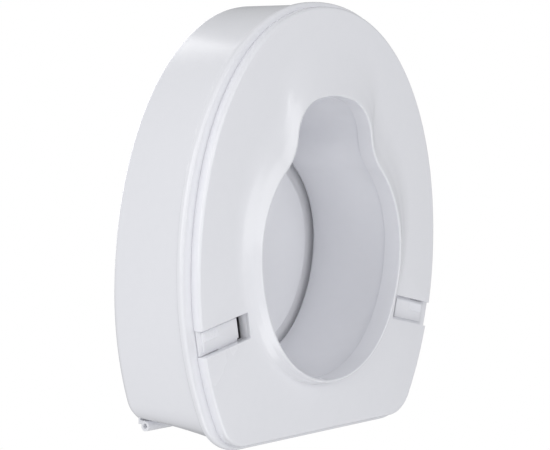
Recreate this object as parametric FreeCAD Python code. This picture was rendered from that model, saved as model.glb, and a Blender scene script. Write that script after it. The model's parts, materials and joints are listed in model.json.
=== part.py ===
import FreeCAD, Part
import math
import os
from FreeCAD import Vector

# Raised toilet seat with a hinged lid, in its position of use.
# Millimetres. +Z up, -Y is the front (the nose), +Y the rear (the lid hinge), +X the user's left.
# The origin is under the middle of the seat, at the level of the lowest edge of the locating collar.

# ---------------------------------------------------------------- driving dimensions
collar_drop = 12.0            # how far the locating collar reaches below the bowl rim at the rear
collar_rise = 6.0             # the collar's edge climbs by this much from the rear to the nose
seat_raise = 102.0            # from the bowl rim to the sitting surface
plate_depth = 10.0            # height of the base plate's own side wall
bead_height = 7.0             # height of the rim bead round the foot of the shell
wall = 3.0                    # general wall of the mouldings
sleeve_wall = 2.5             # wall of the base plate's collar sleeve
fit_gap = 0.3                 # clearance between parts that are pushed together
lid_gap = 3.0                 # height of the lid buffers
lid_height = 14.0             # the lid's overall thickness
seat_round = 8.0              # rounding round the top of the shell
plate_round = 2.8             # rounding round the underside of the base plate
plate_inner_round = 1.0
bead_round = 3.0
bead_top_round = 1.8
ledge_width = 4.5             # the shell's ledge reaches this far in past the base plate's edge
bridge_thick = 2.0
tongue_wall = 1.5             # rib on the base plate that locates it inside the shell's ledge
tongue_height = 4.0
wall_lean = 0.9               # the shell's rear wall leans in by this much over the tongue's height
nose_power = 2.1              # 2 is an ellipse, more is squarer

bowl_z = collar_drop
bead_z = bowl_z + plate_depth
wall_z = bead_z + bead_height
seat_z = bowl_z + seat_raise
lid_z = seat_z + lid_gap
lid_top_z = lid_z + lid_height

# Plan outlines: half width, y of the nose, y of the widest place, y of the rear edge,
# radius of the side behind the widest place, radius of the rear corner.
plate_plan = (179.4, -201.8, 36.0, 201.6, 312.0, 34.5)
bead_plan = (191.0, -206.5, 34.0, 206.5, 322.0, 54.0)
foot_plan = (188.0, -204.3, 34.0, 198.0, 320.0, 42.0)
top_plan = (186.5, -205.0, 60.0, 184.5, 320.0, 24.0)
lid_plan = (170.0, -194.0, 60.0, 193.0, 314.0, 30.0)

# Outline of the opening, from the nose round one side to the rear, as arcs that run smoothly into
# each other: (radius, turn in degrees), with a minus on the radius where the outline is hollow.
# The last arc follows from these: it closes the outline round the rear.
pear_nose_y = -118.0
pear_arcs = [(107.8, 13.7), (39.5, 70.6), (-51.0, 41.5), (105.3, 45.6), (140.0, 34.2)]
pear_rear_y = 151.0           # the place that the outlines are scaled about
duct_step = 3.0               # the duct is this much wider than the collar sleeve
duct_taper = 5.7              # and narrows by this much up to the seat
duct_round = 5.0              # rounding between the duct and the sitting surface
duct_lip_width = 230.0        # the duct's rim is narrower than this, the seat's rim is wider
flank_scale = 1.16            # how far the sloping flank of the collar spreads over the plate
flank_step = 0.5              # the flank starts and ends this far inside the parts it joins

# Side clamps. Each is drawn on the X axis of its own slot, outwards is +X, and then placed.
slot_width = 24.5
slot_turn = 12.0              # the slots run outwards and this many degrees to the rear
slot_x = 146.0                # the place that the slot's own origin takes
slot_y = 98.0
slot_inner = -35.0            # inner end of the slot
slide_inner = -25.0           # inner end of the slide
slide_outer = 21.5            # outer end of the slide's pad; the plate's edge lies at 26.4
carriage_outer = 25.5
slot_open = 60.0              # the slot is cut out to here, past the plate's edge
slide_gap = 0.4               # clearance beside the slide
pad_depth = 5.5               # the slide's finger pad lies this deep in the slot
pad_width = 18.5
carriage_depth = 7.5          # the carriage behind the pad; its lips run on the slot's skirts
carriage_thick = 1.8
lip_width = 2.2               # the carriage's lips reach this far past the slot's sides
lip_end = 1.0                 # outer end of the lips; they meet the plate's rim when pulled out
rail_width = 2.0
rail_height = 1.2
pad_round = 1.5
skirt_wall = 1.5
skirt_end = 24.5              # the skirts run out into the plate's side wall
track_wall = 1.5
track_depth = 10.8            # from the bowl rim to the underside of the track's roof
track_outer = 18.8
wing = 8.0                    # the track's roof reaches this far past its walls, over the posts
post_r = 4.0
post_x = (-20.0, 4.0)
track_screw_r = 1.4
track_screw_length = 6.5
track_head_r = 2.9
grip_x = (0.0, 20.0)          # ribbed finger grip on the front half of the pad
grip_y = (-8.5, -0.5)
rib_pitch = 2.0
rib_half = 0.6
rib_height = 0.8
leaf_thick = 0.5              # detent spring
leaf_x = (-18.0, 10.0)
leaf_y = (-3.0, 3.0)
leaf_play = 0.1

# Lid hinge
hinge_y = 192.0
hinge_z = bowl_z + 95.5
knuckle_r = 4.7
pin_r = 2.5
pin_clearance = 0.05
pin_recess = 12.0              # the pin ends this far inside the knuckle's outer end
knuckle_x = (113.0, 146.0)
bracket_x = (82.0, 112.5)
bracket_foot = 23.0           # the bracket's foot reaches this far below the hinge axis
bracket_thick = 3.5
bracket_web = 9.0             # the foot's back is flat up to this far below the hinge axis
bracket_reach = 22.0          # the foot is cut from a block this deep
screw_r = 2.0
screw_head_r = 3.8
screw_head_height = 2.2
screw_head_round = 1.4
screw_cross = 3.0             # half length of the cross in the screw's head
screw_cross_depth = 1.0
screw_length = 13.0
screw_inset = 7.0             # from the bracket's ends
screw_seat = 0.6              # the head sits this deep in the bracket, on a flat
boss_r = 4.5
screw_drop = 16.5             # screws below the hinge axis

# Lid
lid_round = 8.0
buffer_r = 7.0
buffer_play = 0.1
buffer_places = [(-138.0, 40.0), (138.0, 40.0), (-68.0, -142.0), (68.0, -142.0)]
liner_thick = 2.5
leaf_plate = 2.2              # thickness of the lid's hinge leaf
leaf_depth = 24.0             # how far the leaf runs forward under the lid
lid_screw_y = 171.0
lid_screw_inset = 7.0
lid_screw_top_z = lid_top_z - 5.0
lid_head_r = 3.4
boss_inset = 9.0              # the lid's boss is this much smaller than the duct all round
boss_drop = 6.0
boss_round = 1.2
boss_draft = 2.0              # the boss narrows by this much to its end

os.makedirs("parts", exist_ok=True)


# ---------------------------------------------------------------- outlines
def plan_wire(plan, z, inset=0.0):
    """Closed outline at height z: superellipse nose, two side arcs, two corner arcs, straight rear."""
    half_width, nose_y, wide_y, rear_y, side_r, corner_r = plan
    half_width -= inset
    nose_y += inset
    rear_y -= inset
    side_r -= inset
    corner_r -= inset
    steps = 9
    right = []
    for i in range(steps + 1):
        t = 0.5 * math.pi * i / steps
        x = half_width * math.sin(t) ** (2 / nose_power)
        y = wide_y - (wide_y - nose_y) * max(math.cos(t), 0.0) ** (2 / nose_power)
        right.append(Vector(x, y, z))
    left = [Vector(-p.x, p.y, z) for p in right]
    nose = Part.BSplineCurve()
    nose.interpolate(Points=right[::-1] + left[1:], InitialTangent=Vector(0, -1, 0),
                     FinalTangent=Vector(0, 1, 0))

    corner_y = rear_y - corner_r
    side_x = half_width - side_r
    rise = corner_y - wide_y
    corner_x = side_x + math.sqrt((side_r - corner_r) ** 2 - rise ** 2)
    turn = math.atan2(rise, corner_x - side_x)

    def on_side(angle, sign):
        return Vector(sign * (side_x + side_r * math.cos(angle)), wide_y + side_r * math.sin(angle), z)

    def on_corner(angle, sign):
        return Vector(sign * (corner_x + corner_r * math.cos(angle)),
                      corner_y + corner_r * math.sin(angle), z)

    middle = 0.5 * (turn + 0.5 * math.pi)
    edges = [nose.toShape()]
    for sign in (-1, 1):
        side = Part.Arc(on_side(0, sign), on_side(0.5 * turn, sign), on_side(turn, sign))
        corner = Part.Arc(on_side(turn, sign), on_corner(middle, sign), on_corner(0.5 * math.pi, sign))
        edges += [side.toShape(), corner.toShape()]
    edges.append(Part.LineSegment(on_corner(0.5 * math.pi, -1), on_corner(0.5 * math.pi, 1)).toShape())
    return Part.Wire(Part.__sortEdges__(edges))


def pear_wire(offset, z, scale=1.0, climb=0.0):
    """Outline of the opening, moved outwards by offset and scaled about the rear end.

    It lies at height z at the rear and climbs evenly by climb up to the nose."""
    point = Vector(0, pear_nose_y - offset, 0)
    heading = 0.0
    right = []
    for radius, turn in pear_arcs:
        step = math.copysign(math.radians(turn), radius)
        radius += offset
        centre = point + Vector(-math.sin(heading), math.cos(heading), 0) * radius
        ends = [centre + Vector(math.sin(a), -math.cos(a), 0) * radius
                for a in (heading, heading + 0.5 * step, heading + step)]
        right.append(ends)
        point = ends[2]
        heading += step
    radius = point.x / math.sin(heading)
    centre = Vector(0, point.y + radius * math.cos(heading), 0)
    half_way = 0.5 * (heading + math.pi)
    rear = centre + Vector(0, radius, 0)
    right.append([point, centre + Vector(math.sin(half_way), -math.cos(half_way), 0) * radius, rear])

    def place(p, sign):
        return Vector(sign * p.x * scale, pear_rear_y + (p.y - pear_rear_y) * scale, z)

    edges = [Part.Arc(*[place(p, 1) for p in ends]).toShape() for ends in right]
    edges += [Part.Arc(*[place(p, -1) for p in ends[::-1]]).toShape() for ends in right[::-1]]
    wire = Part.Wire(edges)
    if climb:
        tilt = math.degrees(math.atan2(climb, pear_rear_y - pear_nose_y))
        wire.rotate(place(rear, 0), Vector(1, 0, 0), -tilt)
    return wire


def prism(wire, height):
    return Part.Face(wire).extrude(Vector(0, 0, height))


def between(lower, upper):
    return Part.makeLoft([lower, upper], True, True)


def edges_at(shape, z):
    """Edges that lie flat at height z."""
    found = []
    for edge in shape.Edges:
        bound = edge.BoundBox
        if abs(bound.ZMin - z) < 0.01 and abs(bound.ZMax - z) < 0.01:
            found.append(edge)
    return found


def cylinder_x(radius, x_from, x_to, y, z):
    return Part.makeCylinder(radius, x_to - x_from, Vector(x_from, y, z), Vector(1, 0, 0))


def box(x_from, x_to, y_from, y_to, z_from, z_to):
    return Part.makeBox(x_to - x_from, y_to - y_from, z_to - z_from, Vector(x_from, y_from, z_from))


def in_slot(shape):
    """Move a shape drawn on the X axis (outwards is +X) to the slot on the +X side."""
    placed = shape.copy()
    placed.rotate(Vector(0, 0, 0), Vector(0, 0, 1), slot_turn)
    placed.translate(Vector(slot_x, slot_y, 0))
    return placed


def other_side(shape):
    return shape.mirror(Vector(0, 0, 0), Vector(1, 0, 0))


def wall_y(z):
    """y of the outer face of the shell's rear wall at height z."""
    share = (z - wall_z + 1.0) / (seat_z - wall_z + 1.0)
    return foot_plan[3] + share * (top_plan[3] - foot_plan[3])


def hinge_screw_places():
    """x and z of the screws that hold the hinge brackets, for both sides."""
    z = hinge_z - screw_drop
    inner = bracket_x[0] + screw_inset
    outer = bracket_x[1] - screw_inset
    return [(inner, z), (outer, z), (-inner, z), (-outer, z)]


def screw_start(z):
    """y of the flat under a hinge screw's head."""
    return wall_y(z) + bracket_thick - screw_seat


def screw_shaft(x, z):
    return Part.makeCylinder(screw_r, screw_length, Vector(x, screw_start(z), z), Vector(0, -1, 0))


def save(name, shape):
    solids = shape.Solids
    result = solids[0] if len(solids) == 1 else Part.makeCompound(solids)
    result.exportStep("parts/" + name + ".step")
    print(name, len(solids), "solid(s)", round(result.Volume / 1000, 1), "cm3", result.isValid())


# ---------------------------------------------------------------- seat shell
def make_seat_shell():
    """Seat surface, outer wall, rim bead and duct in one hollow moulding, open underneath."""
    body = between(plan_wire(foot_plan, wall_z - 1.0), plan_wire(top_plan, seat_z))
    body = body.makeFillet(seat_round, edges_at(body, seat_z))
    bead = prism(plan_wire(bead_plan, bead_z), bead_height)
    bead = bead.makeFillet(bead_round, edges_at(bead, bead_z))
    bead = bead.makeFillet(bead_top_round, edges_at(bead, wall_z))
    shell = body.fuse(bead)
    hollow = between(plan_wire(foot_plan, bead_z - 1.0, wall), plan_wire(top_plan, seat_z - wall, wall))
    hollow = hollow.makeFillet(seat_round - wall, edges_at(hollow, seat_z - wall))
    shell = shell.cut(hollow)
    ledge = prism(plan_wire(bead_plan, bead_z, bead_round + 0.5), wall)
    shell = shell.fuse(ledge.cut(prism(plan_wire(plate_plan, bead_z - 1, ledge_width), wall + 2)))
    duct = between(pear_wire(duct_step + wall, bead_z + fit_gap), pear_wire(wall - duct_taper, seat_z - 1.0))
    bore = between(pear_wire(duct_step, bead_z - 1.0), pear_wire(-duct_taper, seat_z + 1.0))
    shell = shell.fuse(duct)
    for x, z in hinge_screw_places():
        shell = shell.fuse(Part.makeCylinder(boss_r, screw_length, Vector(x, wall_y(z) - 1.0, z),
                                             Vector(0, -1, 0)))
        shell = shell.cut(screw_shaft(x, z))
    shell = shell.cut(bore)
    lip = [e for e in edges_at(shell, seat_z) if e.BoundBox.XLength < duct_lip_width]
    return shell.makeFillet(duct_round - 1.0, lip)


# ---------------------------------------------------------------- base plate
def make_base_plate():
    """Underside of the seat: a shallow tray with the locating collar and the two clamp slots."""
    tray = prism(plan_wire(plate_plan, bowl_z), plate_depth)
    tray = tray.makeFillet(plate_round, edges_at(tray, bowl_z))
    inner = prism(plan_wire(plate_plan, bowl_z + wall, wall), plate_depth)
    inner = inner.makeFillet(plate_inner_round, edges_at(inner, bowl_z + wall))
    tongue = inside_ledge(bead_z - bridge_thick, fit_gap, bridge_thick + tongue_height)
    bridge = prism(plan_wire(plate_plan, bead_z - bridge_thick, 1.0), bridge_thick)
    clear = inside_ledge(bead_z - bridge_thick - 1.0, fit_gap + tongue_wall, 4 * wall)
    plate = tray.cut(inner).fuse(bridge).fuse(tongue).cut(clear)
    foot = sleeve_wall + 2 * flank_step
    flank = between(pear_wire(sleeve_wall, 0.0, 1.0, collar_rise),
                    pear_wire(foot, bowl_z + flank_step, flank_scale))
    under = between(pear_wire(sleeve_wall - wall, wall, 1.0, collar_rise),
                    pear_wire(foot - wall, bowl_z + wall + flank_step, flank_scale))
    sleeve = between(pear_wire(sleeve_wall, flank_step, 1.0, collar_rise), pear_wire(sleeve_wall, bead_z))
    landing = prism(pear_wire(duct_step + wall, bead_z - bridge_thick), bridge_thick)
    plate = plate.fuse(flank).cut(under).fuse(sleeve).fuse(landing).fuse(make_skirts())
    plate = plate.cut(prism(pear_wire(0.0, -1.0), seat_z))
    cutter = slot_cutter()
    plate = plate.cut(cutter).cut(other_side(cutter))
    posts = make_track_posts()
    return plate.fuse(posts).fuse(other_side(posts))


def inside_ledge(z, gap, height):
    """Block that fills the shell's ledge ring and its hollow, kept off both by gap."""
    ring = prism(plan_wire(plate_plan, z, ledge_width + gap), height)
    return ring.common(prism(plan_wire(foot_plan, z, wall + wall_lean + gap), height))


def slot_cutter():
    """The slot through the face and the side wall of the base plate."""
    half = 0.5 * slot_width
    return in_slot(box(slot_inner, slot_open, -half, half, -1.0, bead_z + tongue_height + fit_gap))


def make_skirts():
    """Walls on the inner face of the base plate along both sides of each slot."""
    half = 0.5 * slot_width + skirt_wall
    low = bowl_z + wall - 0.5
    top = bowl_z + carriage_depth - fit_gap
    one_side = in_slot(box(slot_inner, skirt_end, -half, half, low, top))
    return one_side.fuse(other_side(one_side))


def post_places():
    """Where the two track screws stand on each side of the slot, on the slot's own axes."""
    y = 0.5 * slot_width + lip_width + slide_gap + track_wall + 0.5 * wing
    return [(x, sign * y) for x in post_x for sign in (-1, 1)]


def make_track_posts():
    """Posts on the base plate's inner face that the track is screwed to."""
    posts = []
    for x, y in post_places():
        post = Part.makeCylinder(post_r, track_depth - 1.0, Vector(x, y, bowl_z + 1.0))
        posts.append(post.cut(track_screw(x, y)))
    return in_slot(Part.makeCompound(posts))


def track_screw(x, y):
    """Screw through the track's roof into its post, with a flat round head."""
    roof_z = bowl_z + track_depth + track_wall
    shaft = Part.makeCylinder(track_screw_r, track_screw_length, Vector(x, y, roof_z - track_screw_length))
    head = Part.makeCylinder(track_head_r, track_screw_r, Vector(x, y, roof_z))
    return shaft.fuse(head)


# ---------------------------------------------------------------- side clamps
def make_track():
    """Channel over the slot that the slide runs in, with wings that are screwed to the posts."""
    inside = 0.5 * slot_width + lip_width + slide_gap
    outside = inside + track_wall
    floor_z = bowl_z + wall
    under_roof = bowl_z + track_depth
    roof_z = under_roof + track_wall
    inner = slot_inner - track_wall
    track = box(inner, track_outer, -outside, outside, floor_z, roof_z)
    track = track.cut(box(slot_inner, track_outer + 1, -inside, inside, floor_z - 1, under_roof))
    window = box(slot_inner, slide_inner + 1, track_wall - inside, inside - track_wall, floor_z, roof_z + 1)
    track = track.cut(window)
    wings = box(post_x[0] - post_r, post_x[1] + post_r, -outside - wing, outside + wing, under_roof, roof_z)
    track = track.fuse(wings)
    for x, y in post_places():
        track = track.cut(track_screw(x, y))
    return in_slot(track)


def make_track_screws():
    one_side = in_slot(Part.makeCompound([track_screw(x, y) for x, y in post_places()]))
    return Part.makeCompound([one_side, other_side(one_side)])


def make_slide():
    """Clamp slide: a carriage with lips that run on the slot's skirts, and a ribbed finger pad."""
    pad_z = bowl_z + pad_depth
    carriage_z = bowl_z + carriage_depth
    carriage_top = carriage_z + carriage_thick
    pad = box(slide_inner, slide_outer, -0.5 * pad_width, 0.5 * pad_width, pad_z, carriage_top)
    rim = [e for e in pad.Edges if abs(e.BoundBox.XMin - slide_outer) < 0.01 and e.BoundBox.ZMax < pad_z + 1]
    pad = pad.makeFillet(pad_round, rim)
    half = 0.5 * slot_width - slide_gap
    carriage = box(slide_inner, carriage_outer, -half, half, carriage_z, carriage_top)
    wide = 0.5 * slot_width + lip_width
    lips = box(slide_inner, lip_end, -wide, wide, carriage_z, carriage_top + rail_height)
    trough = box(slide_inner - 1, lip_end + 1, rail_width - wide, wide - rail_width, carriage_top,
                 carriage_top + 2 * rail_height)
    slide = pad.fuse(carriage).fuse(lips.cut(trough))
    count = int((grip_x[1] - grip_x[0]) / rib_pitch)
    for i in range(count):
        slide = slide.fuse(make_rib(grip_x[0] + (i + 0.5) * rib_pitch, pad_z))
    return in_slot(slide)


def make_rib(x, face_z):
    """One rib of the grip: a low ridge with a triangular section."""
    corners = [Vector(x - rib_half, grip_y[0], face_z + 0.1), Vector(x + rib_half, grip_y[0], face_z + 0.1),
               Vector(x, grip_y[0], face_z - rib_height)]
    return Part.Face(Part.makePolygon(corners + corners[:1])).extrude(Vector(0, grip_y[1] - grip_y[0], 0))


def make_detent_spring():
    """Bowed leaf under the track's roof that rubs on the slide and keeps it where it is put."""
    end_z = bowl_z + track_depth - leaf_thick
    touch_z = bowl_z + carriage_depth + carriage_thick + leaf_play
    middle = 0.5 * (leaf_x[0] + leaf_x[1])
    start = Vector(leaf_x[0], leaf_y[0], end_z)
    stop = Vector(leaf_x[1], leaf_y[0], end_z)
    rise = Vector(0, 0, leaf_thick)
    lower = Part.Arc(start, Vector(middle, leaf_y[0], touch_z), stop).toShape()
    upper = lower.copy()
    upper.translate(rise)
    first = Part.LineSegment(start, start + rise).toShape()
    last = Part.LineSegment(stop, stop + rise).toShape()
    outline = Part.Wire(Part.__sortEdges__([lower, first, upper, last]))
    return in_slot(Part.Face(outline).extrude(Vector(0, leaf_y[1] - leaf_y[0], 0)))


# ---------------------------------------------------------------- lid hinge
def make_hinge_bracket():
    """Foot screwed to the shell's rear wall with the fixed barrel of the hinge above it."""
    foot_z = hinge_z - bracket_foot
    low_z = foot_z - 1.0
    block = box(bracket_x[0], bracket_x[1], hinge_y - bracket_reach, hinge_y, foot_z, hinge_z)
    back = [(low_z, bracket_thick), (hinge_z - bracket_web, bracket_thick), (hinge_z, bracket_reach),
            (low_z, bracket_reach)]
    front = [(low_z, 0.0), (seat_z, 0.0), (seat_z, -bracket_reach), (low_z, -bracket_reach)]
    for corners in (back, front):
        outline = [Vector(0, wall_y(z) + side, z) for z, side in corners]
        block = block.cut(Part.Face(Part.makePolygon(outline + outline[:1])).extrude(Vector(seat_z * 2, 0, 0)))
    barrel = cylinder_x(knuckle_r, bracket_x[0], bracket_x[1], hinge_y, hinge_z)
    bracket = block.fuse(barrel)
    bracket = bracket.cut(cylinder_x(pin_r, 0, knuckle_x[1], hinge_y, hinge_z))
    for x, z in hinge_screw_places()[:2]:
        flat = Part.makeCylinder(screw_head_r + fit_gap, screw_length, Vector(x, screw_start(z), z),
                                 Vector(0, 1, 0))
        bracket = bracket.cut(screw_shaft(x, z)).cut(flat)
    return bracket


def make_hinge_pin():
    return cylinder_x(pin_r, bracket_x[0] + 1.0, knuckle_x[1] - pin_recess, hinge_y, hinge_z)


def make_hinge_screws():
    """Round-headed cross screws that hold the brackets to the shell."""
    screws = []
    for x, z in hinge_screw_places():
        start = screw_start(z)
        end = start + screw_head_height
        head = Part.makeCylinder(screw_head_r, screw_head_height, Vector(x, start, z), Vector(0, 1, 0))
        head = head.makeFillet(screw_head_round, [e for e in head.Edges if e.BoundBox.YMin > end - 0.01])
        floor = end - screw_cross_depth
        arm = screw_cross / 6
        head = head.cut(box(x - screw_cross, x + screw_cross, floor, end + 1, z - arm, z + arm))
        head = head.cut(box(x - arm, x + arm, floor, end + 1, z - screw_cross, z + screw_cross))
        screws.append(head.fuse(screw_shaft(x, z)))
    return Part.makeCompound(screws)


# ---------------------------------------------------------------- lid
def make_lid_cover():
    """Upper shell of the lid, open underneath."""
    cover = prism(plan_wire(lid_plan, lid_z), lid_height)
    cover = cover.makeFillet(lid_round, edges_at(cover, lid_top_z))
    inner = prism(plan_wire(lid_plan, lid_z - 1.0, wall), lid_height - wall + 1.0)
    inner = inner.makeFillet(lid_round - wall, edges_at(inner, lid_top_z - wall))
    return cover.cut(inner)


def make_lid_liner():
    """Lower shell of the lid, with the boss that reaches into the opening."""
    liner = prism(plan_wire(lid_plan, lid_z, wall + fit_gap), liner_thick)
    inset = -duct_taper - boss_inset
    tip = inset - boss_draft
    boss = between(pear_wire(tip, lid_z - boss_drop), pear_wire(inset, lid_z + 1.0))
    boss = boss.makeFillet(boss_round, edges_at(boss, lid_z - boss_drop))
    cavity = between(pear_wire(tip - liner_thick, lid_z - boss_drop + liner_thick),
                     pear_wire(inset - liner_thick, lid_z + liner_thick + 1.0))
    liner = liner.fuse(boss).cut(cavity)
    for x, y in lid_screw_places():
        liner = liner.fuse(Part.makeCylinder(boss_r, lid_screw_top_z - lid_z, Vector(x, y, lid_z)))
        liner = liner.cut(lid_screw(x, y))
    return liner


def make_knuckle():
    """Lid's half of the hinge: a leaf screwed under the lid, an arm and the moving barrel."""
    barrel = cylinder_x(knuckle_r, knuckle_x[0], knuckle_x[1], hinge_y, hinge_z)
    arm = box(knuckle_x[0] + 1.0, knuckle_x[1] - 1.0, hinge_y - knuckle_r, hinge_y - 1.0, hinge_z, lid_z)
    leaf = box(knuckle_x[0] + 1.0, knuckle_x[1] - 1.0, hinge_y - knuckle_r - leaf_depth, hinge_y - 1.0,
               lid_z - leaf_plate, lid_z)
    knuckle = barrel.fuse(arm).fuse(leaf)
    knuckle = knuckle.cut(cylinder_x(pin_r + pin_clearance, 0, knuckle_x[1] + 1, hinge_y, hinge_z))
    for x, y in lid_screw_places():
        knuckle = knuckle.cut(lid_screw(x, y))
    return knuckle


def lid_screw_places():
    xs = (knuckle_x[0] + lid_screw_inset, knuckle_x[1] - lid_screw_inset)
    return [(sign * x, lid_screw_y) for sign in (-1, 1) for x in xs]


def lid_screw(x, y):
    """Screw through the hinge leaf into the liner's boss, its head flush with the leaf."""
    low = lid_z - leaf_plate
    head = Part.makeCone(lid_head_r, screw_r, lid_head_r - screw_r, Vector(x, y, low))
    return head.fuse(Part.makeCylinder(screw_r, lid_screw_top_z - 1.5 - low, Vector(x, y, low)))


def make_lid_screws():
    return Part.makeCompound([lid_screw(x, y) for x, y in lid_screw_places()])


def make_lid_buffers():
    pads = []
    for x, y in buffer_places:
        pad = Part.makeCylinder(buffer_r, lid_gap - buffer_play, Vector(x, y, seat_z + buffer_play))
        pads.append(pad.makeFillet(1.0, edges_at(pad, seat_z + buffer_play)))
    return Part.makeCompound(pads)


# ---------------------------------------------------------------- write every piece
save("seat_shell", make_seat_shell())
save("base_plate", make_base_plate())
save("lid_cover", make_lid_cover())
save("lid_liner", make_lid_liner())
save("lid_buffers", make_lid_buffers())
save("lid_screws", make_lid_screws())
save("hinge_screws", make_hinge_screws())
save("track_screws", make_track_screws())
for name, make in (("slide_track", make_track), ("clamp_slide", make_slide),
                   ("detent_spring", make_detent_spring), ("lid_knuckle", make_knuckle),
                   ("hinge_bracket", make_hinge_bracket), ("hinge_pin", make_hinge_pin)):
    piece = make()
    save(name + "_left", piece)
    save(name + "_right", other_side(piece))
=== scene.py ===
# %% [markdown]
# # Raised toilet seat
# The object is a hollow plastic riser with a hinged lid. This lesson starts from the engineering model,
# which fixes every size and every joint, and gives each piece its finished surface: soft moulded edges,
# gloss, the fine texture of the mould, and the small steps where two mouldings meet.

# %% Load the engineering model
import json
import math
import bmesh
import bpy
import numpy as np
from mathutils import Matrix, Vector


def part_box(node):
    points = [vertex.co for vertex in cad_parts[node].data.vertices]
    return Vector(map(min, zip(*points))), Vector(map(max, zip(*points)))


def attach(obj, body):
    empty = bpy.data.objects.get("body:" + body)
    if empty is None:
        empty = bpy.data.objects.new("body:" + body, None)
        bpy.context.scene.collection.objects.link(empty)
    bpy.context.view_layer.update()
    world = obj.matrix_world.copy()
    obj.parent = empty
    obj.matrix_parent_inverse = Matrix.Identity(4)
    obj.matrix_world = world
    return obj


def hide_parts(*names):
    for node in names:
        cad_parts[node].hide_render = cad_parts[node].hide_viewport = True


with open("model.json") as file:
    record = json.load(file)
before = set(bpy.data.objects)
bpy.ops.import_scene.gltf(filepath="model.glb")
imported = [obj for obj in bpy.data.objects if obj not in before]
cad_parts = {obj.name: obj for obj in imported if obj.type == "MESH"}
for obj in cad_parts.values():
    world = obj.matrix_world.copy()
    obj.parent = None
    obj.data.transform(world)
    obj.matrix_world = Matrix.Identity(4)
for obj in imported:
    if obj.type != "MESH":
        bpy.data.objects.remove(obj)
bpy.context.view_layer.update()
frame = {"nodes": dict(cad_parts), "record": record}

# %% [markdown]
# ## Heights
# The seat is a stack of levels: the collar's edge at zero, the face that rests on the bowl, the bead, the
# sitting surface, the lid. They could be typed in, but then they would drift from the engineering model as
# soon as it changes. Reading them from the boxes of its pieces and from its mounting points avoids that.


# %% Levels of the seat, in millimetres
def span(node):
    """Lowest and highest corner of an engineering piece, in millimetres."""
    low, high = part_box(node)
    return np.array(low) * 1000, np.array(high) * 1000


BEAD_Z, SEAT_Z = span("seat_shell")[0][2], span("seat_shell")[1][2]
LID_Z, LID_TOP_Z = span("lid_cover")[0][2], span("lid_cover")[1][2]
mounts = {mount["name"]: mount for mount in frame["record"]["mounts"]}
BOWL_Z = mounts["bowl_rim_seat"]["pos_m"][2] * 1000
WALL_Z = BEAD_Z + 7.0          # top of the bead, where the wall starts
BRIDGE_Z = BEAD_Z - 2.0        # underside of the base plate's inner rim
SKIN = 3.0                     # thickness of the shell, the base plate and the lid cover
print("bowl", BOWL_Z, "bead", BEAD_Z, "wall", WALL_Z, "seat", SEAT_Z, "lid", LID_Z, "top", LID_TOP_Z)

# %% [markdown]
# ## Outlines
# Every large moulding follows one of two outlines seen from above: the rounded outline of the seat, and
# the keyhole of the opening. Both could be drawn by hand as curves. Here they are formulas, so that a
# wall, its inside and its rounded edges all come from the same line, moved in or out.


# %% Sizes of the seat outline, in millimetres
def outline(node, wide_y, side_r, corner_r):
    """Half width, y of the nose, y of the widest place, y of the rear, side radius, corner radius."""
    low, high = span(node)
    return high[0], low[1], wide_y, high[1], side_r, corner_r


PLATE = outline("base_plate", 36.0, 312.0, 34.5)
BEAD = outline("seat_shell", 34.0, 322.0, 54.0)
LID = outline("lid_cover", 60.0, 314.0, 30.0)
# the wall stands inside the bead, and leans in towards the top, most of all at the rear
FOOT = (BEAD[0] - 3.0, BEAD[1] + 2.2, 34.0, BEAD[3] - 8.5, 320.0, 42.0)
TOP = (BEAD[0] - 4.5, BEAD[1] + 1.5, 60.0, BEAD[3] - 22.0, 320.0, 24.0)
NOSE_POWER = 2.1               # 2 would be an ellipse, more is squarer
print("half widths: plate", PLATE[0], "bead", BEAD[0], "lid", LID[0], "wall", FOOT[0], "to", TOP[0])

# %% Sizes of the keyhole, in millimetres
KEYHOLE_NOSE, KEYHOLE_REAR = -118.0, 151.0
# the keyhole as arcs from the nose to the rear: radius (minus where it is hollow), turn in degrees
KEYHOLE_ARCS = ((107.8, 13.7), (39.5, 70.6), (-51.0, 41.5), (105.3, 45.6), (140.0, 34.2))
COLLAR_RISE = 6.0              # the collar's edge is this much higher at the nose
DUCT_STEP, DUCT_TOP = 3.0, -5.7  # the duct against the collar, at its foot and at the seat
ROUND = 480                    # points round each outline
print("keyhole arcs", len(KEYHOLE_ARCS), "points round", ROUND)


# %% Points spread evenly along a half outline, and mirrored into a ring
def even_ring(half):
    """Takes points of one half, from the nose to the rear, and returns ROUND points of the whole ring.

    Position along the half is the share of its length; the other half has x of the other sign."""
    steps = np.hypot(*np.diff(half, axis=0).T)
    along = np.concatenate([[0.0], np.cumsum(steps)])
    share = np.linspace(0.0, along[-1], ROUND // 2 + 1)
    right = np.stack([np.interp(share, along, half[:, 0]), np.interp(share, along, half[:, 1])], axis=1)
    left = right[-2:0:-1] * (-1.0, 1.0)
    return np.concatenate([right, left])


print("points of a ring", len(even_ring(np.array([[0.0, -1.0], [1.0, 0.0], [0.0, 1.0]]))))


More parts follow.
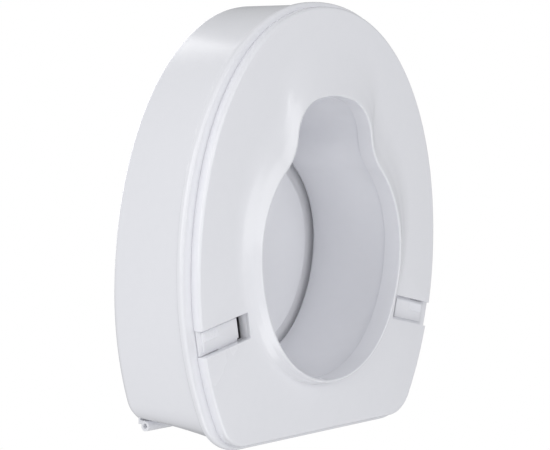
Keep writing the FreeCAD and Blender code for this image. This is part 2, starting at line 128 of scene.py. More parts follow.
# %% The seat's outline as a ring
def seat_ring(plan, inset, z):
    """Superellipse nose, one large arc along the side, one corner arc, straight rear; all moved in by inset."""
    half_width, nose_y, wide_y, rear_y, side_r, corner_r = plan
    half_width, nose_y, rear_y = half_width - inset, nose_y + inset, rear_y - inset
    side_r, corner_r = side_r - inset, max(corner_r - inset, 0.5)
    t = np.linspace(0.0, 0.5 * np.pi, 900)
    power = 2.0 / NOSE_POWER
    nose = np.stack([half_width * np.sin(t) ** power,
                     wide_y - (wide_y - nose_y) * np.clip(np.cos(t), 0, 1) ** power], axis=1)
    corner_y = rear_y - corner_r
    side_x = half_width - side_r
    corner_x = side_x + math.sqrt((side_r - corner_r) ** 2 - (corner_y - wide_y) ** 2)
    turn = math.atan2(corner_y - wide_y, corner_x - side_x)
    a = np.linspace(0.0, turn, 600)[1:]
    side = np.stack([side_x + side_r * np.cos(a), wide_y + side_r * np.sin(a)], axis=1)
    a = np.linspace(turn, 0.5 * np.pi, 300)[1:]
    corner = np.stack([corner_x + corner_r * np.cos(a), corner_y + corner_r * np.sin(a)], axis=1)
    half = np.concatenate([nose, side, corner, [[0.0, rear_y]]])
    ring = even_ring(half)
    return np.column_stack([ring, np.full(len(ring), z)])


print("seat outline", np.ptp(seat_ring(BEAD, 0, 0), axis=0))


# %% The keyhole as a ring
def keyhole_ring(offset, z, scale=1.0, climb=0.0):
    """Chain of arcs that meet without a kink, each radius grown by offset, then scaled about the rear.

    The height rises evenly from z at the rear to z + climb at the nose."""
    x, y, heading = 0.0, KEYHOLE_NOSE - offset, 0.0
    parts = []
    for radius, turn in KEYHOLE_ARCS:
        step = math.copysign(math.radians(turn), radius)
        radius += offset
        cx, cy = x - radius * math.sin(heading), y + radius * math.cos(heading)
        a = heading + np.linspace(0.0, step, 200)
        parts.append(np.stack([cx + radius * np.sin(a), cy - radius * np.cos(a)], axis=1))
        x, y = parts[-1][-1]
        heading += step
    radius = x / math.sin(heading)
    a = np.linspace(heading, np.pi, 200)
    parts.append(np.stack([radius * np.sin(a), y + radius * (math.cos(heading) - np.cos(a))], axis=1))
    ring = even_ring(np.concatenate(parts))
    low, high = ring[:, 1].min(), ring[:, 1].max()
    lift = climb * (high - ring[:, 1]) / (high - low)
    moved = KEYHOLE_REAR + (ring[:, 1] - KEYHOLE_REAR) * scale
    return np.column_stack([ring[:, 0] * scale, moved, z + lift])


print("keyhole", np.ptp(keyhole_ring(0, 0), axis=0))

# %% [markdown]
# ## From rings to a moulding
# A moulding is a closed wall: its section is a loop, carried round the outline. The loop is given by its
# corners only, each with the radius it has on the real part, and the rounding is worked out for every
# point of the outline at once. Rounded edges matter more than anything else here: on a white gloss part
# they are where the light is caught and the shape is read.


# %% Round the corners of a section
def rounded(section, steps, closed=True):
    """Takes corners as (ring, radius) and replaces each by an arc; a radius may differ from point to point.

    The arc is a rational quadratic curve between the two tangent points, with the corner as its middle
    control point and the sine of half the corner's angle as its weight."""
    rings, radii = zip(*section)
    stack = np.stack(rings)
    out = []
    for k, radius in enumerate(radii):
        here = stack[k]
        if np.max(radius) <= 0 or (not closed and k in (0, len(radii) - 1)):
            out.append(here[None])
            continue
        back, ahead = stack[k - 1] - here, stack[(k + 1) % len(stack)] - here
        back_len = np.linalg.norm(back, axis=1, keepdims=True)
        ahead_len = np.linalg.norm(ahead, axis=1, keepdims=True)
        back, ahead = back / back_len, ahead / ahead_len
        half = 0.5 * np.arccos(np.clip((back * ahead).sum(1, keepdims=True), -1, 1))
        reach = np.minimum(radius / np.tan(half), 0.48 * np.minimum(back_len, ahead_len))
        s = np.linspace(0, 1, steps + 1)[:, None, None]
        weights = (1 - s) ** 2, 2 * s * (1 - s) * np.sin(half), s ** 2
        total = weights[0] + weights[1] + weights[2]
        out.append((weights[0] * (here + back * reach) + weights[1] * here
                    + weights[2] * (here + ahead * reach)) / total)
    return np.concatenate(out)


trial = rounded([(seat_ring(BEAD, k, 5.0 * k), 1.0) for k in range(3)], steps=8)
print("three corners become", len(trial), "rings of", len(trial[0]), "points")


# %% Put points and faces in a mesh
def add_mesh(name, points, faces_flat, sizes):
    """Points in millimetres, and faces as one flat list of corner numbers with a list of their sizes."""
    mesh = bpy.data.meshes.new(name)
    mesh.vertices.add(len(points))
    mesh.vertices.foreach_set("co", (points * 0.001).astype(np.float32).ravel())
    mesh.loops.add(len(faces_flat))
    mesh.loops.foreach_set("vertex_index", faces_flat.astype(np.int32))
    mesh.polygons.add(len(sizes))
    mesh.polygons.foreach_set("loop_start", np.concatenate([[0], np.cumsum(sizes)[:-1]]).astype(np.int32))
    mesh.polygons.foreach_set("use_smooth", np.ones(len(sizes), bool))
    mesh.update(calc_edges=True)
    mesh.validate()
    piece = bpy.data.objects.new(name, mesh)
    bpy.context.scene.collection.objects.link(piece)
    return piece


def grid_faces(rows, columns, close_rows):
    """Corner numbers of the quads between neighbouring rows; columns always close into a ring."""
    row = np.arange(rows if close_rows else rows - 1)[:, None]
    column = np.arange(columns)[None]
    below, right = (row + 1) % rows, (column + 1) % columns
    quads = np.stack([row * columns + column, row * columns + right,
                      below * columns + right, below * columns + column], axis=-1)
    return quads.reshape(-1, 4)


print("faces of a wall of 3 rows and 4 columns", len(grid_faces(3, 4, True)))


# %% Two kinds of closed shape: a ring-shaped wall and a capped solid
def outwards(points, quads):
    """Turns the faces round if the volume they enclose, summed as cones from the origin, is negative."""
    a, b, c, d = (points[quads[:, i]] for i in range(4))
    volume = (np.cross(a, b) * c).sum() + (np.cross(a, c) * d).sum()
    return quads if volume > 0 else quads[:, ::-1]


trial_quads = grid_faces(len(trial), ROUND, True)
trial_turned = outwards(trial.reshape(-1, 3), trial_quads) is not trial_quads
print("faces of the trial wall had to be turned round:", trial_turned)


def ring_moulding(name, stack):
    """A closed wall: the section's loop closes on itself and so does the outline."""
    rows, columns, _ = stack.shape
    points = stack.reshape(-1, 3)
    quads = outwards(points, grid_faces(rows, columns, True))
    return add_mesh(name, points, quads.ravel(), np.full(len(quads), 4))


def capped_moulding(name, stack):
    """A solid whose first and last rings shrink to one point each, joined by triangles."""
    rows, columns, _ = stack.shape
    points = np.concatenate([stack.reshape(-1, 3), [stack[0].mean(0)], [stack[-1].mean(0)]])
    quads = outwards(points, grid_faces(rows, columns, False))
    column = np.arange(columns)
    nxt = (column + 1) % columns
    first = np.stack([np.full(columns, rows * columns), nxt, column], axis=1)
    last_row = (rows - 1) * columns
    last = np.stack([np.full(columns, rows * columns + 1), last_row + column, last_row + nxt], axis=1)
    if not np.array_equal(quads[0], grid_faces(rows, columns, False)[0]):
        first, last = first[:, ::-1], last[:, ::-1]
    flat = np.concatenate([quads.ravel(), first.ravel(), last.ravel()])
    sizes = np.concatenate([np.full(len(quads), 4), np.full(2 * columns, 3)])
    return add_mesh(name, points, flat, sizes)


# %% [markdown]
# ## Seat shell
# The shell is one blow- or injection-moulded piece: the outer wall that leans in slightly, the bead round
# its foot, the sitting surface and the duct down the middle. Seen in section it is one loop, so it is
# made as one loop, with the wall's real thickness.

# %% Rings between the outlines
LEAN_START_Z = WALL_Z - 1.0    # the wall has the foot outline here and the top outline at the seat


def wall_ring(inset, z):
    """Ring of the leaning wall: the foot outline and the top outline mixed by height."""
    share = (z - LEAN_START_Z) / (SEAT_Z - LEAN_START_Z)
    return seat_ring(FOOT, inset, z) * (1 - share) + seat_ring(TOP, inset, z) * share


def seat_surface_ring(share, z):
    """Ring between the wall's top and the duct's lip, by its share of the way in."""
    return seat_ring(TOP, 0, z) * (1 - share) + keyhole_ring(DUCT_TOP, z) * share


print("wall leans in by", wall_ring(0, WALL_Z).max(0)[0] - wall_ring(0, SEAT_Z).max(0)[0], "mm a side")

# %% Seat shell
LEDGE_IN = 4.5                 # the shell's foot reaches this far over the base plate
LANDING = 0.3                  # air between the duct's foot and the base plate
shell_section = [
    (seat_ring(PLATE, LEDGE_IN, BEAD_Z), 0.3), (seat_ring(BEAD, 0, BEAD_Z), 3.0),
    (seat_ring(BEAD, 0, WALL_Z), 2.6), (wall_ring(0, WALL_Z), 0.8), (wall_ring(0, SEAT_Z), 8.0),
    (seat_surface_ring(0.55, SEAT_Z), 40.0), (seat_surface_ring(0.8, SEAT_Z - 0.9), 30.0),
    (keyhole_ring(DUCT_TOP, SEAT_Z - 2.2), 5.0), (keyhole_ring(DUCT_STEP, BEAD_Z + LANDING), 0.4),
    (keyhole_ring(DUCT_STEP + SKIN, BEAD_Z + LANDING), 0.4), (keyhole_ring(DUCT_TOP + SKIN, SEAT_Z - 5.5), 2.0),
    (wall_ring(SKIN, SEAT_Z - SKIN), 5.0), (wall_ring(SKIN, BEAD_Z + SKIN), 0.5),
    (seat_ring(PLATE, LEDGE_IN, BEAD_Z + SKIN), 0.3)]
seat_shell = ring_moulding("seat_moulding", rounded(shell_section, steps=8))
print("seat shell faces", len(seat_shell.data.polygons))

# %% [markdown]
# ## Base plate
# The underside is a shallow tray pushed into the shell. Its edge rolls over into the face, and the collar
# that drops into the bowl stands up from the face like the rim of a crater: a wide slope at the nose, a
# steep one at the rear. One radius all round would make it look turned, so the radius at the collar's
# foot grows with the distance from the rear.

# %% Foot of the collar
FLANK = 1.16                   # the collar's foot is this much larger than its edge
foot_line = keyhole_ring(4.0, BOWL_Z, FLANK)
forward = (foot_line[:, 1].max() - foot_line[:, 1]) / np.ptp(foot_line[:, 1])
foot_radius = (1.5 + 260.0 * forward ** 2)[:, None]     # crisp at the rear, flowing at the nose
print("foot radius from", foot_radius.min(), "to", foot_radius.max())

# %% Base plate
COLLAR_WALL, TONGUE_IN = 2.5, 6.3      # the collar's thickness, and the inner side of the tray's rim
PLATE_TOP_Z = BEAD_Z - 0.05            # the tray's rim just misses the shell
INSIDE_Z = BOWL_Z + SKIN
plate_section = [
    (seat_ring(PLATE, 0, PLATE_TOP_Z), 0.3), (seat_ring(PLATE, 0, BOWL_Z), 2.9), (foot_line, foot_radius),
    (keyhole_ring(3.0, 0.45 * BOWL_Z, 1.055, 0.55 * COLLAR_RISE), 0.6 * foot_radius),
    (keyhole_ring(2.3, 0.0, 1.0, COLLAR_RISE), 1.1), (keyhole_ring(0, 0.0, 1.0, COLLAR_RISE), 1.1),
    (keyhole_ring(0, BEAD_Z), 0.4), (keyhole_ring(DUCT_STEP + SKIN, BEAD_Z), 0.3),
    (keyhole_ring(DUCT_STEP + SKIN, BRIDGE_Z), 0.3), (keyhole_ring(COLLAR_WALL, BRIDGE_Z), 0.3),
    (keyhole_ring(COLLAR_WALL, INSIDE_Z), 0.5), (keyhole_ring(COLLAR_WALL + 0.1, INSIDE_Z, FLANK), 0.5),
    (seat_ring(PLATE, SKIN, INSIDE_Z), 1.0), (seat_ring(PLATE, SKIN, BRIDGE_Z), 0.5),
    (seat_ring(PLATE, TONGUE_IN, BRIDGE_Z), 0.3), (seat_ring(PLATE, TONGUE_IN, PLATE_TOP_Z), 0.3)]
base_plate = ring_moulding("base_moulding", rounded(plate_section, steps=8))
print("base plate faces", len(base_plate.data.polygons))

# %% [markdown]
# ## Slots for the side clamps
# Each slot runs outwards and a little to the rear, through the face and out through the tray's wall. A
# skirt of plastic stands inside along its sides. Both are plain blocks: Boolean modifiers add the skirts
# and cut the slots as a milling cutter does in the mould, and a Bevel modifier then breaks the new edges,
# which would otherwise look like paper.

# %% Place of the slots, from the mounting points
clamp = mounts["side_clamp_left"]
SLOT_X, SLOT_Y = clamp["pos_m"][0] * 1000, clamp["pos_m"][1] * 1000
SLOT_COS, SLOT_SIN = clamp["axis"][0], clamp["axis"][1]


def into_slot(points, side):
    """Turns points drawn along a slot's own X axis and moves them to the slot on that side (+1 or -1)."""
    x = SLOT_X + points[:, 0] * SLOT_COS - points[:, 1] * SLOT_SIN
    y = SLOT_Y + points[:, 0] * SLOT_SIN + points[:, 1] * SLOT_COS
    return np.column_stack([side * x, y, points[:, 2]])


def block_mesh(name, low, high, side):
    """Eight corners, all mixes of low and high, and the six faces between them."""
    corner = np.array([[i & 1, i >> 1 & 1, i >> 2] for i in range(8)])
    points = into_slot(np.where(corner, high, low).astype(float), side)
    quads = np.array([[0, 2, 3, 1], [4, 5, 7, 6], [0, 1, 5, 4], [2, 6, 7, 3], [0, 4, 6, 2], [1, 3, 7, 5]])
    if side < 0:
        quads = quads[:, ::-1]
    return add_mesh(name, points, quads.ravel(), np.full(6, 4))


print("slot at", SLOT_X, SLOT_Y, "turned by", math.degrees(math.atan2(SLOT_SIN, SLOT_COS)))


# %% Settle modifiers, and break edges
def made_final(piece):
    """Keeps the mesh as the modifiers leave it and takes them off."""
    settled = bpy.data.meshes.new_from_object(piece.evaluated_get(bpy.context.evaluated_depsgraph_get()))
    piece.modifiers.clear()
    piece.data = settled
    return piece


def broken_edges(piece, width, angle, segments):
    """Bevels every edge sharper than angle (degrees) by width (mm)."""
    bevel = piece.modifiers.new("broken edges", "BEVEL")
    bevel.width = width * 0.001
    bevel.segments = segments
    bevel.limit_method = "ANGLE"
    bevel.angle_limit = math.radians(angle)
    bevel.use_clamp_overlap = True
    return made_final(piece)


print("modifiers on the base plate so far", len(base_plate.modifiers))


# %% Add the skirts and cut the slots
SLOT_HALF, SLOT_INNER, SLOT_OUTER = 12.25, -35.0, 60.0      # across and along the slot, from its middle
SKIRT_HALF, SKIRT_OUTER = 13.75, 24.5
SKIRT_LOW, SKIRT_HIGH = BOWL_Z + 2.0, BOWL_Z + 7.2
BEYOND = 8.0                                                # the cutter passes the plate by this much
skirts = [block_mesh("slot_skirt", (SLOT_INNER + 0.05, -SKIRT_HALF, SKIRT_LOW),
                     (SKIRT_OUTER, SKIRT_HALF, SKIRT_HIGH), side) for side in (1, -1)]
cutters = [block_mesh("slot_cutter", (SLOT_INNER, -SLOT_HALF, BOWL_Z - BEYOND),
                      (SLOT_OUTER, SLOT_HALF, BEAD_Z + BEYOND), side) for side in (1, -1)]
for tools, operation in ((skirts, "UNION"), (cutters, "DIFFERENCE")):
    for tool in tools:
        cut = base_plate.modifiers.new("slot", "BOOLEAN")
        cut.operation, cut.solver, cut.object = operation, "EXACT", tool
made_final(base_plate)
for tool in skirts + cutters:
    bpy.data.objects.remove(tool)
broken_edges(base_plate, 1.0, angle=55.0, segments=3)
base_plate.data.set_sharp_from_angle(angle=math.radians(50))
print("base plate faces after the slots", len(base_plate.data.polygons))

# %% [markdown]
# ## Lid
# The lid is two thin mouldings clipped together. The upper one is a shallow pan with a slight crown, so
# that water runs off. The lower one carries a soft-edged boss that fills the opening when the lid is down.
# Both close to a point in the middle, so their sections run from one pole to the other.

# %% Lid cover
LID_MIDDLE = np.array([0.0, 8.0, 0.0])
POLE = 0.01                    # share at which a ring is small enough to close to a point


def shrunk(ring, share, z):
    """The ring drawn in towards the lid's middle, at height z."""
    return (ring * (1, 1, 0) - LID_MIDDLE) * share + LID_MIDDLE + np.array([0, 0, z])


edge = seat_ring(LID, 0, 0)
inside = seat_ring(LID, SKIN, 0)
cover_section = [
    (shrunk(edge, POLE, LID_TOP_Z), 0), (shrunk(edge, 0.4, LID_TOP_Z - 0.1), 200.0),
    (shrunk(edge, 0.75, LID_TOP_Z - 0.6), 150.0), (shrunk(edge, 1.0, LID_TOP_Z - 2.0), 8.5),
    (shrunk(edge, 1.0, LID_Z), 0.8), (shrunk(inside, 1.0, LID_Z), 0.5),
    (shrunk(inside, 1.0, LID_TOP_Z - 4.6), 5.0), (shrunk(inside, 0.7, LID_TOP_Z - 3.4), 100.0),
    (shrunk(inside, POLE, LID_TOP_Z - 3.0), 0)]
lid_cover = capped_moulding("lid_cover_moulding", rounded(cover_section, steps=9, closed=False))
print("lid cover faces", len(lid_cover.data.polygons))

# %% Lid liner
LINER_TOP_Z = LID_Z + 2.5
rim = seat_ring(LID, 3.3, 0)
boss_low, boss_high = keyhole_ring(-16.7, 0), keyhole_ring(-14.7, 0)
liner_section = [
    (shrunk(boss_low, POLE, LID_Z - 5.7), 0), (shrunk(boss_low, 0.6, LID_Z - 5.8), 200.0),
    (shrunk(boss_low, 1.0, LID_Z - 6.0), 1.4), (shrunk(boss_high, 1.0, LID_Z), 2.0),
    (shrunk(rim, 1.0, LID_Z), 0.8), (shrunk(rim, 1.0, LINER_TOP_Z), 0.5),
    (shrunk(boss_low, 1.0, LINER_TOP_Z), 1.0), (shrunk(boss_low, 0.97, LID_Z - 3.4), 2.0),
    (shrunk(boss_low, POLE, LID_Z - 3.2), 0)]
lid_liner = capped_moulding("lid_liner_moulding", rounded(liner_section, steps=9, closed=False))
print("lid liner faces", len(lid_liner.data.polygons))

# %% [markdown]
# ## Buffers
# Four soft pads keep the lid off the sitting surface and take up small unevenness. They are round, so a
# short profile of radius and height is turned round each pad's own axis.

# %% Lid buffers
pads_low, pads_high = span("lid_buffers")
PAD_R, PAD_POINTS, FRONT_PAD_X = 7.0, 40, 68.0
PAD_PLACES = [(x, y) for x, y in ((pads_high[0] - PAD_R, pads_high[1] - PAD_R),
                                  (FRONT_PAD_X, pads_low[1] + PAD_R)) for x in (x, -x)]
pad_foot, pad_head = SEAT_Z + 0.1, LID_Z
PAD_PROFILE = ((0.1, pad_head), (6.6, pad_head), (6.95, pad_head - 0.3), (PAD_R, pad_head - 0.8),
               (6.9, pad_foot + 1.0), (6.5, pad_foot + 0.35), (5.8, pad_foot), (4.6, pad_foot),
               (4.0, pad_foot + 0.25), (0.1, pad_foot + 0.3))


def turned_pad(name, x, y, profile):
    """Each profile point (radius, height) becomes a circle of points round the pad's axis."""
    angle = np.linspace(0, 2 * np.pi, PAD_POINTS, endpoint=False)
    radius, height = np.array(profile).T
    stack = np.stack([x + radius[:, None] * np.cos(angle), y + radius[:, None] * np.sin(angle),
                      np.repeat(height[:, None], PAD_POINTS, axis=1)], axis=-1)
    return capped_moulding(name, stack)


pads = [turned_pad("lid_pad_%d" % (i + 1), x, y, PAD_PROFILE) for i, (x, y) in enumerate(PAD_PLACES)]
print("pads", len(pads), "faces each", len(pads[0].data.polygons))

# %% [markdown]
# ## Small hardware
# Brackets, knuckles, tracks, slides, pins and screws already have their exact shape in the engineering
# model, but with knife edges. Each is copied, its loose triangles are merged back into flat faces, and its
# edges are broken by a fraction of a millimetre, as moulding and deburring leave them.


# %% Softened copies of the small pieces
def softened(node, width):
    """Copies a node's mesh, welds its corners, dissolves the seams inside flat faces and bevels the rest."""
    mesh = frame["nodes"][node].data.copy()
    work = bmesh.new()
    work.from_mesh(mesh)
    bmesh.ops.remove_doubles(work, verts=work.verts, dist=2e-6)
    bmesh.ops.dissolve_limit(work, angle_limit=math.radians(0.5), verts=work.verts, edges=work.edges)
    work.to_mesh(mesh)
    work.free()
    mesh.materials.clear()
    piece = bpy.data.objects.new(node + "_finished", mesh)
    bpy.context.scene.collection.objects.link(piece)
    mesh.polygons.foreach_set("use_smooth", np.ones(len(mesh.polygons), bool))
    broken_edges(piece, width, angle=40.0, segments=2)
    piece.data.set_sharp_from_angle(angle=math.radians(35))
    return piece


# width of the broken edge in millimetres, for both sides of a kind
EDGE_WIDTH = {"clamp_slide": 0.25, "slide_track": 0.2, "hinge_bracket": 0.3, "lid_knuckle": 0.3,
              "hinge_pin": 0.25, "detent_spring": 0.08, "hinge_screws": 0.1, "lid_screws": 0.1,
              "track_screws": 0.1}
small = {}
for node in sorted(frame["nodes"]):
    kind = node.replace("_left", "").replace("_right", "")
    if kind in EDGE_WIDTH:
        small[node] = softened(node, EDGE_WIDTH[kind])
print("small pieces", {node: len(piece.data.polygons) for node, piece in small.items()})

# %% [markdown]
# ## What moves with what
# Each finished piece takes the place of the engineering piece it was made for and rides on the same body,
# so opening the lid or sliding a clamp moves the right surfaces.

# %% Bodies and material slots
made_for = {"seat_shell": [seat_shell], "base_plate": [base_plate], "lid_cover": [lid_cover],
            "lid_liner": [lid_liner], "lid_buffers": pads}
made_for.update({node: [piece] for node, piece in small.items()})
body_of_node = {node: body for body, nodes in frame["record"]["behaviour"]["bodies"].items() for node in nodes}
slot_of_node = {part["node"]: part["material_slot"] for part in frame["record"]["subparts"]}
for node, made in made_for.items():
    for piece in made:
        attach(piece, body_of_node[node])
        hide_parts(node)
print("pieces", sum(len(made) for made in made_for.values()), "nodes left plain",
      sorted(set(frame["nodes"]) - set(made_for)))

# %% [markdown]
# ## Surface of a moulding
# A polished mould still leaves marks on gloss plastic: a very fine grain, a slow waviness that bends
# reflections, and patches that are a little duller where hands and cloths pass. Edges are scuffed first.
# All come from noise at their own sizes, gathered in one group, so that every material shares them and
# sets only their sizes.

# %% Group of noises that every material uses
FLAT_EDGE, SHARP_EDGE = 0.53, 0.62     # pointiness where scuffing starts, and where it is full


def moulded_surface_group():
    """Noise at three sizes: grain and waviness make Height, patches make Dullness, Tint and Worn Edge."""
    group = bpy.data.node_groups.new("moulded surface", "ShaderNodeTree")
    for name, default in (("Grain Size", 1500.0), ("Wave Size", 140.0), ("Patch Size", 14.0),
                          ("Grain Share", 0.5)):
        socket = group.interface.new_socket(name, in_out="INPUT", socket_type="NodeSocketFloat")
        socket.default_value = default
    for name in ("Height", "Dullness", "Tint", "Worn Edge"):
        group.interface.new_socket(name, in_out="OUTPUT", socket_type="NodeSocketFloat")
    nodes, links = group.nodes, group.links
    given, result = nodes.new("NodeGroupInput"), nodes.new("NodeGroupOutput")
    place = nodes.new("ShaderNodeTexCoord")
    noises = {}
    for label, size, detail in (("grain", "Grain Size", 2.0), ("wave", "Wave Size", 1.0),
                                ("patch", "Patch Size", 3.0)):
        noise = nodes.new("ShaderNodeTexNoise")
        noise.inputs["Detail"].default_value = detail
        links.new(place.outputs["Object"], noise.inputs["Vector"])
        links.new(given.outputs[size], noise.inputs["Scale"])
        noises[label] = noise.outputs["Fac"]
    height = nodes.new("ShaderNodeMix")
    links.new(given.outputs["Grain Share"], height.inputs["Factor"])
    links.new(noises["wave"], height.inputs["A"])
    links.new(noises["grain"], height.inputs["B"])
    links.new(height.outputs["Result"], result.inputs["Height"])
    dull = nodes.new("ShaderNodeMapRange")
    dull.inputs["From Min"].default_value, dull.inputs["From Max"].default_value = 0.1, 0.9
    links.new(noises["patch"], dull.inputs["Value"])
    links.new(dull.outputs["Result"], result.inputs["Dullness"])
    tint = nodes.new("ShaderNodeMath")
    tint.operation = "MULTIPLY"
    links.new(noises["patch"], tint.inputs[0])
    links.new(noises["wave"], tint.inputs[1])
    links.new(tint.outputs["Value"], result.inputs["Tint"])
    shape = nodes.new("ShaderNodeNewGeometry")
    worn = nodes.new("ShaderNodeMapRange")
    worn.inputs["From Min"].default_value, worn.inputs["From Max"].default_value = FLAT_EDGE, SHARP_EDGE
    links.new(shape.outputs["Pointiness"], worn.inputs["Value"])
    scuff = nodes.new("ShaderNodeMath")
    scuff.operation = "MULTIPLY"
    links.new(worn.outputs["Result"], scuff.inputs[0])
    links.new(noises["patch"], scuff.inputs[1])
    links.new(scuff.outputs["Value"], result.inputs["Worn Edge"])
    return group


moulded_surface = moulded_surface_group()
print("group nodes", len(moulded_surface.nodes))

# %% [markdown]
# ## One recipe for every surface
# Plastic, rubber and steel differ here only in colour, gloss, depth of the bump and the sizes of their
# marks. So one function makes them all. The shader itself stays in each material, with its plain numbers
# set on its own sockets; only what changes over the surface comes from the group.

# %% Recipe for a material
EDGE_ROUGHNESS = 0.12          # added where an edge is worn


def new_material(name):
    """An empty material with its nodes, its links and its Principled shader."""
    material = bpy.data.materials.new(name)
    material.use_nodes = True
    nodes, links = material.node_tree.nodes, material.node_tree.links
    return material, nodes, links, nodes["Principled BSDF"]


def finished(name, colour, second_colour, roughness, bump_mm, values, metallic=0.0):
    """Colour and gloss vary with the group's patches; the bump follows its height."""
    material, nodes, links, shader = new_material(name)
    surface = nodes.new("ShaderNodeGroup")
    surface.node_tree = moulded_surface
    for socket, value in values.items():
        surface.inputs[socket].default_value = value
    blend = nodes.new("ShaderNodeMix")
    blend.data_type = "RGBA"
    blend.inputs["A"].default_value = (*colour, 1)
    blend.inputs["B"].default_value = (*second_colour, 1)
    links.new(surface.outputs["Tint"], blend.inputs["Factor"])
    links.new(blend.outputs["Result"], shader.inputs["Base Color"])
    gloss = nodes.new("ShaderNodeMapRange")
    gloss.inputs["To Min"].default_value, gloss.inputs["To Max"].default_value = roughness
    links.new(surface.outputs["Dullness"], gloss.inputs["Value"])
    scuffed = nodes.new("ShaderNodeMath")
    scuffed.operation = "MULTIPLY_ADD"
    scuffed.inputs[1].default_value = EDGE_ROUGHNESS
    links.new(surface.outputs["Worn Edge"], scuffed.inputs[0])
    links.new(gloss.outputs["Result"], scuffed.inputs[2])
    links.new(scuffed.outputs["Value"], shader.inputs["Roughness"])
    bump = nodes.new("ShaderNodeBump")
    bump.inputs["Distance"].default_value = bump_mm * 0.001
    bump.inputs["Strength"].default_value = 1.0
    links.new(surface.outputs["Height"], bump.inputs["Height"])
    links.new(bump.outputs["Normal"], shader.inputs["Normal"])
    shader.inputs["Metallic"].default_value = metallic
    return material


print("a worn edge adds", EDGE_ROUGHNESS, "to the roughness")


# %% [markdown]
# ## Plastic, rubber and steel
# The seat and the lid are gloss white with a trace of blue, and the lid, moulded apart, is a little
# brighter. The buffers are a matt grey rubber. Pins, screws and springs are stainless steel with a
# fine grain. Each slot of the engineering model gets one of these.

# %% Materials of this object
GRAIN = {"Grain Size": 1500.0, "Wave Size": 120.0, "Patch Size": 14.0, "Grain Share": 0.35}
seat_white = finished("gloss white seat plastic", (0.868, 0.872, 0.908), (0.838, 0.844, 0.882), (0.13, 0.24),
                      0.05, GRAIN)
lid_white = finished("gloss white lid plastic", (0.878, 0.882, 0.912), (0.853, 0.857, 0.89), (0.12, 0.22),
                     0.05, GRAIN)
pad_grey = finished("soft grey buffer", (0.55, 0.56, 0.57), (0.46, 0.47, 0.48), (0.55, 0.72), 0.12,
                    {"Grain Size": 2500.0, "Wave Size": 600.0, "Patch Size": 60.0, "Grain Share": 0.7})
stainless = finished("stainless steel", (0.62, 0.62, 0.63), (0.55, 0.55, 0.57), (0.22, 0.38), 0.01,
                     {"Grain Size": 4000.0, "Wave Size": 900.0, "Patch Size": 120.0, "Grain Share": 0.8},
                     metallic=1.0)
look = {"moulding": seat_white, "lid_moulding": lid_white, "buffer": pad_grey, "steel": stainless}


def dressed(piece, material):
    """Gives a piece that material and no other."""
    piece.data.materials.clear()
    piece.data.materials.append(material)


for node, made in made_for.items():
    for piece in made:
        dressed(piece, look[slot_of_node[node]])
    dressed(frame["nodes"][node], look[slot_of_node[node]])
print("materials", sorted(material.name for material in look.values()))

# %% [markdown]
# ## Floor
# The seat stands on a pale floor. The floor is only seen from above: from below it is left clear, so that
# the underside can be looked at.

# %% Floor
FLOOR_HALF, FLOOR_DROP = 6000.0, 0.6   # millimetres; the drop keeps the floor off the collar's edge
corner = np.array([[-1, -1, 0], [1, -1, 0], [1, 1, 0], [-1, 1, 0]]) * FLOOR_HALF
floor = add_mesh("floor", corner - (0, 0, FLOOR_DROP), np.arange(4), np.array([4]))
floor_look, nodes, links, shader = new_material("pale floor")
shader.inputs["Base Color"].default_value = (0.78, 0.78, 0.77, 1)
shader.inputs["Roughness"].default_value = 0.6
facing = nodes.new("ShaderNodeNewGeometry")
clear = nodes.new("ShaderNodeBsdfTransparent")
choice = nodes.new("ShaderNodeMixShader")
links.new(facing.outputs["Backfacing"], choice.inputs["Fac"])
links.new(shader.outputs["BSDF"], choice.inputs[1])
links.new(clear.outputs["BSDF"], choice.inputs[2])
links.new(choice.outputs["Shader"], nodes["Material Output"].inputs["Surface"])
dressed(floor, floor_look)
floor.visible_shadow = floor.visible_diffuse = floor.visible_glossy = False
print("floor at", -FLOOR_DROP, "mm")

# %% [markdown]
# ## Light
# A white gloss part is lit by a white surround and a few large soft lamps. The surround alone would make
# it look flat, and small lamps would burn hard spots into the gloss; large ones draw soft highlights
# along the rounded edges. What the camera sees behind the seat is plain white, brighter than the
# surround that lights it.

# %% White surround
SURROUND_STRENGTH, BEHIND_STRENGTH = 0.42, 1.0
scene = bpy.context.scene
world = bpy.data.worlds.new("white surround")
scene.world = world
world.use_nodes = True
nodes, links = world.node_tree.nodes, world.node_tree.links
surround = nodes["Background"]
surround.inputs["Color"].default_value = (0.97, 0.98, 1.0, 1)
surround.inputs["Strength"].default_value = SURROUND_STRENGTH
behind = nodes.new("ShaderNodeBackground")
behind.inputs["Color"].default_value = (1, 1, 1, 1)
behind.inputs["Strength"].default_value = BEHIND_STRENGTH
ray = nodes.new("ShaderNodeLightPath")
pick = nodes.new("ShaderNodeMixShader")
links.new(ray.outputs["Is Camera Ray"], pick.inputs["Fac"])
links.new(surround.outputs["Background"], pick.inputs[1])
links.new(behind.outputs["Background"], pick.inputs[2])
links.new(pick.outputs["Shader"], nodes["World Output"].inputs["Surface"])
scene.view_settings.view_transform = "Standard"
print("surround strength", SURROUND_STRENGTH)

# %% Soft lamps
LIT_POINT = Vector((0, 0, 0.06))       # the middle of the seat, in metres


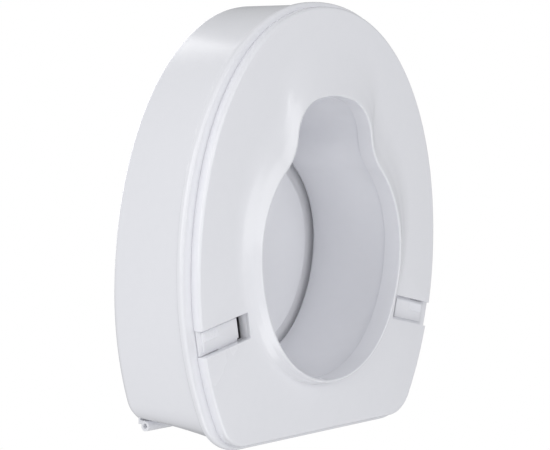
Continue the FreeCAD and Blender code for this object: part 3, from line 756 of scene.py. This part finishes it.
def soft_lamp(name, place, size, power):
    """A square lamp of that size in metres and power in watts, aimed at the middle of the seat."""
    data = bpy.data.lights.new(name, "AREA")
    data.size, data.energy = size, power
    lamp = bpy.data.objects.new(name, data)
    scene.collection.objects.link(lamp)
    lamp.location = place
    lamp.rotation_euler = (LIT_POINT - Vector(place)).to_track_quat("-Z", "Y").to_euler()
    lamp.visible_camera = False


soft_lamp("key lamp", (-1.5, -0.8, -1.2), 1.3, 8.0)
soft_lamp("side lamp", (-1.7, -0.4, 0.3), 1.2, 10.5)
soft_lamp("face lamp", (0.2, -0.4, -1.9), 1.3, 9.5)
soft_lamp("rear lamp", (-0.6, 1.6, -0.9), 1.2, 9.0)
soft_lamp("upper lamp", (0.4, -0.6, 1.8), 1.4, 12.0)

# %% [markdown]
# ## Camera
# The camera looks at the underside and the side wall at once, with the nose at the top as if the seat
# stood on its rear edge, because that shows the collar, the slots and the wall's height together. It
# stands well back with a long lens, so that the outline is not bent by perspective. Its three axes are
# worked out from two turns and a small roll, which is easier to follow than a triple of angles.

# %% Camera
TURN, RISE, ROLL = math.radians(50.0), math.radians(3.75), math.radians(1.36)
ASIDE, ABOVE, DISTANCE = -0.0509, -0.0002, 1.470       # metres along the camera's own axes
LOOKED_AT = Vector((0, 0.004, 0.012))
right = Vector((math.cos(TURN), 0, math.sin(TURN)))
up = Vector((math.sin(TURN) * math.sin(RISE), math.cos(RISE), -math.cos(TURN) * math.sin(RISE)))
back = right.cross(up)
tilted_right = right * math.cos(ROLL) + up * math.sin(ROLL)
tilted_up = up * math.cos(ROLL) - right * math.sin(ROLL)
into_frame = Matrix(((1, 0, 0), (0, -1, 0), (0, 0, -1)))       # half a turn about X puts the nose up
axes = [into_frame @ axis for axis in (tilted_right, tilted_up, back)]
place = axes[0] * ASIDE + axes[1] * ABOVE + axes[2] * DISTANCE + LOOKED_AT
lens = bpy.data.cameras.new("camera")
lens.lens, lens.sensor_width, lens.sensor_fit = 101.1, 36.0, "HORIZONTAL"
camera = bpy.data.objects.new("camera", lens)
scene.collection.objects.link(camera)
camera.matrix_world = Matrix.Translation(place) @ Matrix(axes).transposed().to_4x4()
scene.camera = camera
print("camera", [round(c, 3) for c in camera.location])
